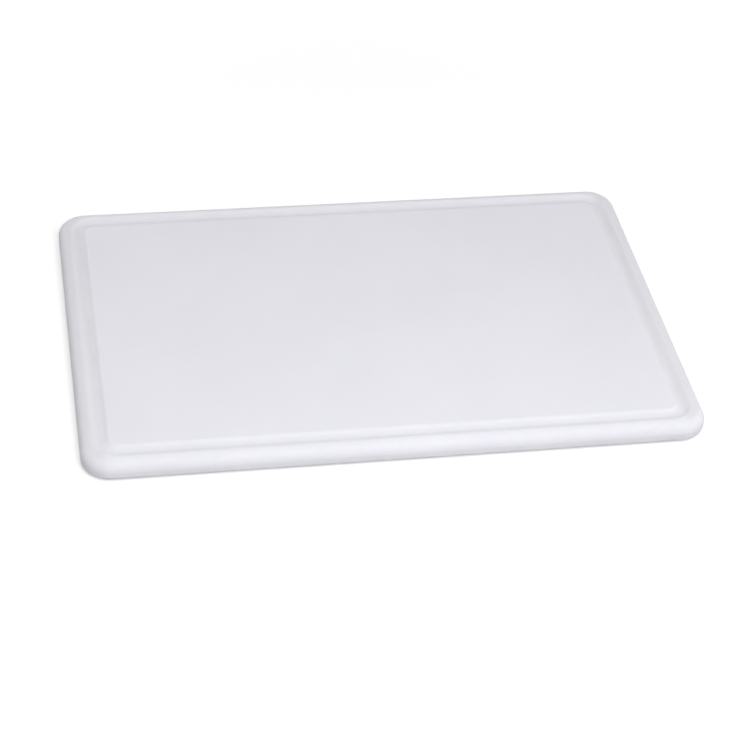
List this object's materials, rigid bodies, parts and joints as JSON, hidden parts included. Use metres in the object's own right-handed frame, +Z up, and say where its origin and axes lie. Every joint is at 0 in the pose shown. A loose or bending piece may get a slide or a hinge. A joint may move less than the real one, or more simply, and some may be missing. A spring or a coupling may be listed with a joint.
{
  "type": "cutting board",
  "caption": "Thick white plastic cutting board with rounded corners, a soft rim and a juice groove around its flat work surface, on screwed non-slip rubber feet.",
  "frame": {"origin": "under the middle of the board, on the plane that its feet stand on", "axes": "+X along the long side, +Y across the board from the front long side to the rear one, +Z up through the work surface"},
  "size_m": [0.6, 0.4, 0.022],
  "materials": {
    "polyethylene": "white high-density polyethylene, satin and very finely pebbled",
    "rubber": "dark grey moulded non-slip rubber, matt",
    "stainless_steel": "plain stainless steel, bright from cold heading and stamping"
  },
  "bodies": {
    "root": {"board_slab": "polyethylene", "rubber_foot_front_left": "rubber", "foot_washer_front_left": "stainless_steel", "foot_screw_front_left": "stainless_steel", "rubber_foot_front_right": "rubber", "foot_washer_front_right": "stainless_steel", "foot_screw_front_right": "stainless_steel", "rubber_foot_rear_left": "rubber", "foot_washer_rear_left": "stainless_steel", "foot_screw_rear_left": "stainless_steel", "rubber_foot_rear_right": "rubber", "foot_washer_rear_right": "stainless_steel", "foot_screw_rear_right": "stainless_steel"}
  },
  "joints": []
}
